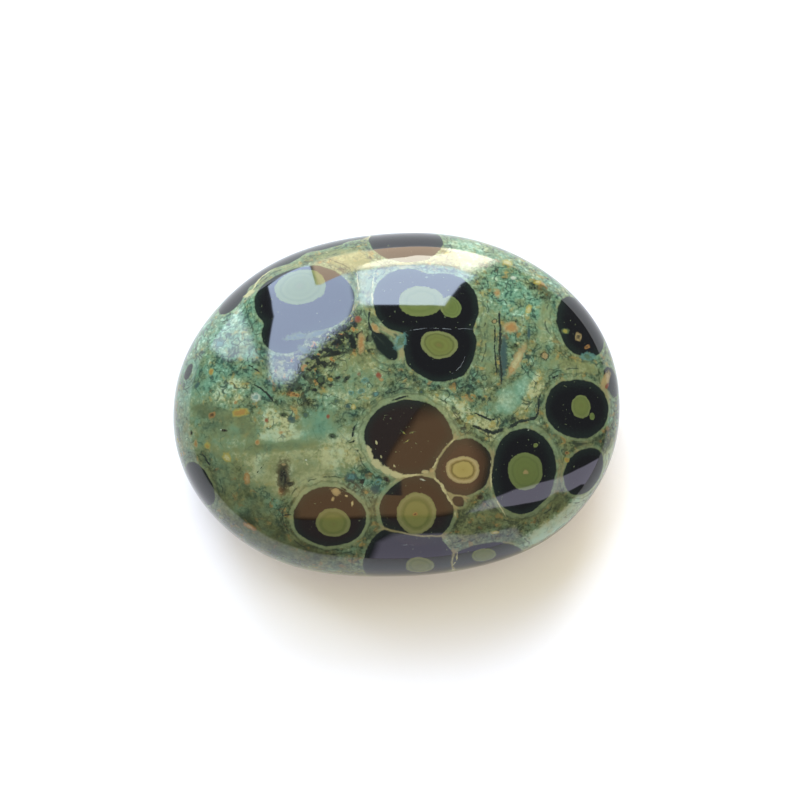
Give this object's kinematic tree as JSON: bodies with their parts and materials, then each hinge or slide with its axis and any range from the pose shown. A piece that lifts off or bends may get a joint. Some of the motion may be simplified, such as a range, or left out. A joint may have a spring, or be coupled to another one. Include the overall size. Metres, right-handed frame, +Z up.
{
  "type": "tumbled stone",
  "caption": "Loose polished oval pebble of orbicular green jasper, domed on top, with a small flat underneath that it rests on.",
  "frame": {"origin": "under the middle of the stone's box, on the flat that it rests on", "axes": "+Z up, square to the rest flat; +X along the stone's length, towards its lower end; +Y across its width"},
  "size_m": [0.05, 0.0386, 0.0183],
  "materials": {
    "polished_jasper": "high tumbled polish over near-black orbs with green eyes in mottled green, olive and cream"
  },
  "bodies": {
    "root": {"tumbled_stone": "polished_jasper"}
  },
  "joints": []
}
